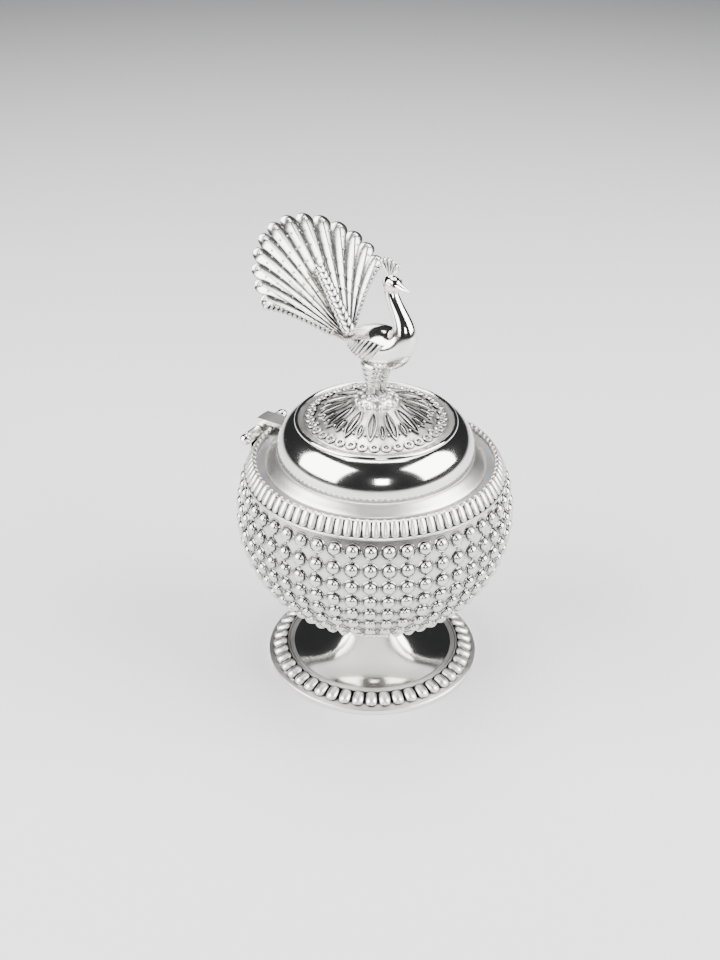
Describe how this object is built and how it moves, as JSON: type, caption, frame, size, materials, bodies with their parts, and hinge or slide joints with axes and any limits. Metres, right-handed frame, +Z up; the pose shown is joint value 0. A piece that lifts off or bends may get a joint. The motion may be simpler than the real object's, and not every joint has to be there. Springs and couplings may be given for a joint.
{
  "type": "footed sindoor box with peacock finial",
  "caption": "Round beaded vermilion box on a flared foot, with a hinged domed lid and a displaying peacock as its finial.",
  "frame": {"origin": "on the box's vertical axis, in the plane that the foot rests on", "axes": "+Z up along the bowl's axis, +Y from the axis to the hinge, +X to the box's left as seen from its front"},
  "size_m": [0.0506, 0.0515, 0.0861],
  "materials": {
    "polished_silver": "polished silver plate",
    "satin_silver": "satin silver plate with chased ornament",
    "darkened_silver": "matt darkened silver plate"
  },
  "bodies": {
    "base": {"foot_rim": "satin_silver", "foot_flare": "polished_silver", "stem_collar": "polished_silver", "bowl_shell": "satin_silver", "reeded_band": "polished_silver", "rim_seat": "darkened_silver", "foot_screw": "satin_silver", "foot_nut": "satin_silver", "hinge_leaf_bowl": "satin_silver", "hinge_pin": "polished_silver"},
    "lid": {"lid_flange": "satin_silver", "lid_bezel": "satin_silver", "lid_dome": "polished_silver", "medallion": "satin_silver", "medallion_collar": "polished_silver", "hinge_leaf_lid": "satin_silver", "finial_screw": "satin_silver", "finial_nut": "satin_silver", "peacock_mound": "darkened_silver", "peacock_leg_left": "satin_silver", "peacock_leg_right": "satin_silver", "peacock_body": "satin_silver", "peacock_neck": "polished_silver", "peacock_crest": "satin_silver", "peacock_wing_left": "satin_silver", "peacock_wing_right": "satin_silver", "peacock_tail": "satin_silver", "peacock_covert": "satin_silver"}
  },
  "joints": [
    {"name": "lid_hinge", "type": "hinge", "parent": "base", "child": "lid", "pos_m": [0, 0.0251, 0.0426], "axis": [-1, 0, 0], "range_deg": [0, 95]}
  ]
}
